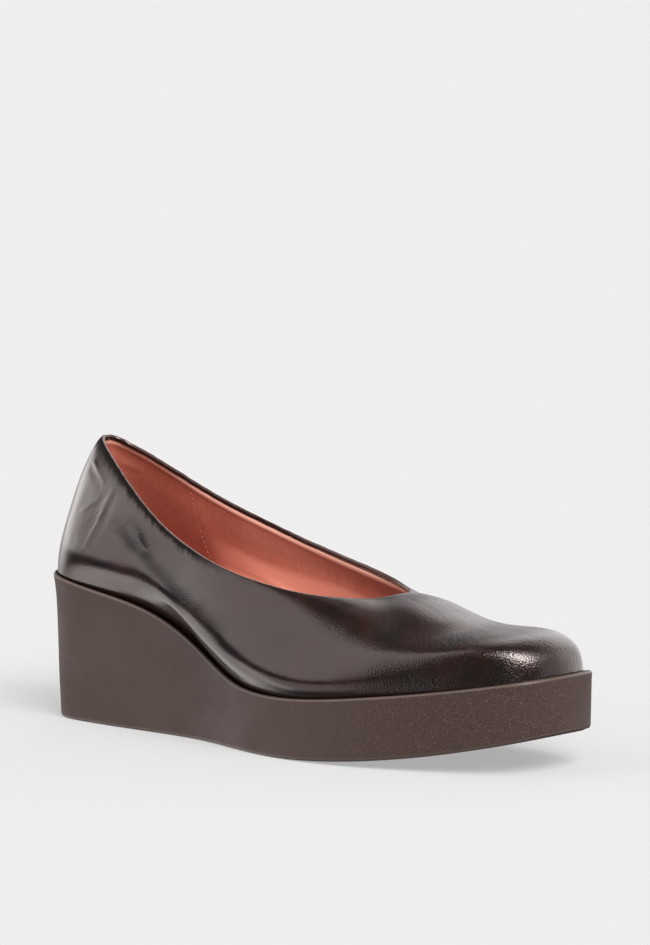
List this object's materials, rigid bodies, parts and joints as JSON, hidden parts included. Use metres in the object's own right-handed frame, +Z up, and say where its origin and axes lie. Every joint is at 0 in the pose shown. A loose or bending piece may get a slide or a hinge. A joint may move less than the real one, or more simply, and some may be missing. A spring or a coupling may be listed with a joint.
{
  "type": "wedge shoe",
  "caption": "Slip-on wedge pump for the right foot: a hollow leather upper, open at the collar, on a one-piece moulded wedge sole with a lined insole.",
  "frame": {"origin": "on the floor, under the middle of the shoe's box", "axes": "+X to the toe, +Y to the inner side of the foot, +Z up"},
  "size_m": [0.2496, 0.085, 0.1142],
  "materials": {
    "sole": "matte moulded foam rubber, brown-grey, fine grain",
    "upper": "polished dark brown smooth leather",
    "insole": "soft coral lining leather"
  },
  "bodies": {
    "root": {"sole": "sole", "upper": "upper", "insole": "insole"}
  },
  "joints": []
}
